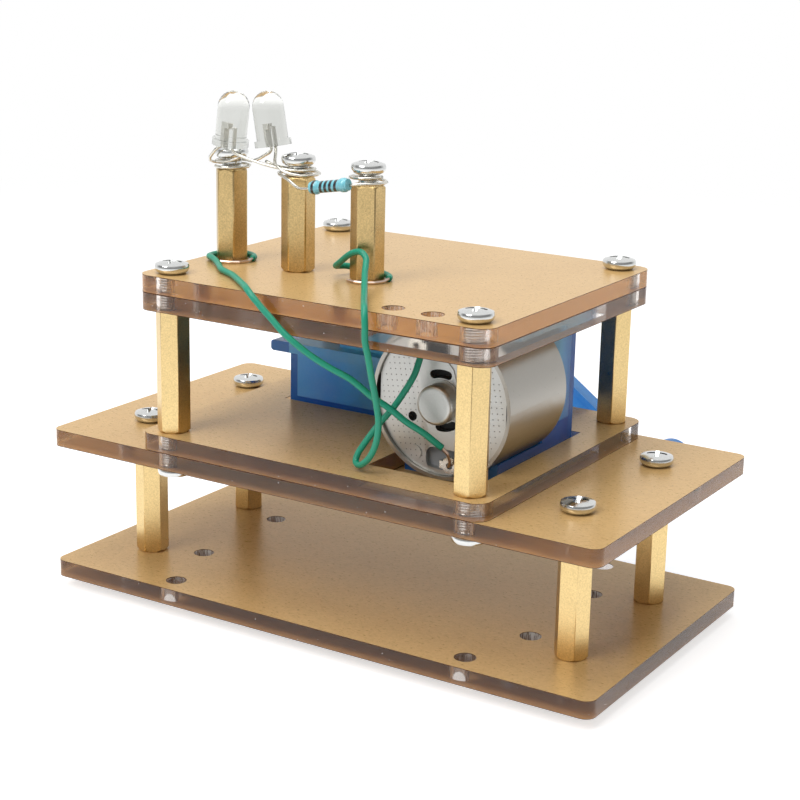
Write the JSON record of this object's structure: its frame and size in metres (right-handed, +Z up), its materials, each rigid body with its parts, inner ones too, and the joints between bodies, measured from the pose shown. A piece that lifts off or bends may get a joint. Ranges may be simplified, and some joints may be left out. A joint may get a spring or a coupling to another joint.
{
  "type": "hand crank generator",
  "caption": "Tabletop crank generator of paper-faced acrylic plates on brass standoffs: a geared crank turns a small motor that feeds lamps on brass posts.",
  "frame": {"origin": "centre of the base plate's underside, in the middle of its four corner holes", "axes": "+X along the plates towards the motor's side, +Y towards the crank at the back, +Z up"},
  "size_m": [0.1, 0.0738, 0.0837],
  "materials": {
    "clear_acrylic": "polished clear acrylic that shows its paper's brown through the edges",
    "kraft_paper": "matt kraft masking paper with fine fibres",
    "brass": "satin drawn brass, slightly grainy",
    "zinc": "bright zinc plating",
    "blue_case": "translucent blue, moulded",
    "blue_cover": "deep translucent blue",
    "blue_crank": "translucent bright blue",
    "gear_plastic": "moulded off-white",
    "steel": "turned steel",
    "can_steel": "satin plated steel",
    "cap_steel": "light satin plated steel with small pressed dots",
    "grey_plastic": "moulded grey",
    "tinned_wire": "tinned, slightly dull",
    "ferrite": "sintered, matt",
    "bronze": "oiled sintered bronze",
    "carbon": "pressed carbon",
    "clear_resin": "clear cast resin",
    "resistor_blue": "sky blue lacquer with dark bands",
    "green_insulation": "smooth green insulation",
    "bare_copper": "bare copper",
    "enamelled_copper": "enamelled copper wire"
  },
  "bodies": {
    "frame": {"base_plate": "clear_acrylic", "deck_plate": "clear_acrylic", "seat_plate": "clear_acrylic", "lower_roof_plate": "clear_acrylic", "upper_roof_plate": "clear_acrylic", "paper_base": "kraft_paper", "paper_deck": "kraft_paper", "paper_seat": "kraft_paper", "paper_lower_roof": "kraft_paper", "paper_upper_roof": "kraft_paper", "lower_standoffs": "brass", "upper_standoffs": "brass", "terminal_posts": "brass", "base_screws": "zinc", "deck_screws": "zinc", "seat_screws": "zinc", "roof_screws": "zinc", "post_base_screws": "zinc", "post_top_screws": "zinc", "gear_case": "blue_case", "gear_cover": "blue_cover", "gear_mid_plate": "gear_plastic", "cover_screws": "steel", "gear_pins": "steel", "motor_can": "can_steel", "motor_end_cap": "cap_steel", "brush_holder": "grey_plastic", "motor_terminals": "tinned_wire", "motor_magnets": "ferrite", "motor_bushes": "bronze", "motor_brushes": "carbon", "lamp_lenses": "clear_resin", "lamp_frames": "tinned_wire", "lamp_leads": "tinned_wire", "resistor_body": "resistor_blue", "resistor_leads": "tinned_wire", "first_green_lead": "green_insulation", "second_green_lead": "green_insulation", "first_lead_cores": "bare_copper", "second_lead_cores": "bare_copper"},
    "crank": {"crank_gear": "gear_plastic", "crank_shaft": "steel", "crank_arm": "blue_crank", "crank_screw": "steel", "knob_pin": "steel"},
    "knob": {"crank_knob": "blue_crank"},
    "second_gear": {"second_gear": "gear_plastic"},
    "third_gear": {"third_gear": "gear_plastic"},
    "rotor": {"motor_shaft": "steel", "rotor_core": "can_steel", "rotor_windings": "enamelled_copper", "commutator": "bare_copper", "motor_pinion": "bronze"}
  },
  "joints": [
    {"name": "crank_spin", "type": "hinge", "parent": "frame", "child": "crank", "pos_m": [0.001, 0.0285, 0.0384], "axis": [0, 1, 0], "continuous": true},
    {"name": "knob_spin", "type": "hinge", "parent": "crank", "child": "knob", "pos_m": [0.03031, 0.0377, 0.01749], "axis": [0, 1, 0], "continuous": true},
    {"name": "second_gear_spin", "type": "hinge", "parent": "frame", "child": "second_gear", "pos_m": [0.0135, 0.009, 0.0384], "axis": [0, 1, 0], "continuous": true},
    {"name": "third_gear_spin", "type": "hinge", "parent": "frame", "child": "third_gear", "pos_m": [0.0045, 0.006, 0.0384], "axis": [0, 1, 0], "continuous": true},
    {"name": "rotor_spin", "type": "hinge", "parent": "frame", "child": "rotor", "pos_m": [0.017, -0.006, 0.0384], "axis": [0, 1, 0], "continuous": true}
  ],
  "couplings": [
    {"joint": "second_gear_spin", "follows": "crank_spin", "ratio": -4},
    {"joint": "third_gear_spin", "follows": "crank_spin", "ratio": 10.4},
    {"joint": "rotor_spin", "follows": "crank_spin", "ratio": -41.6}
  ]
}
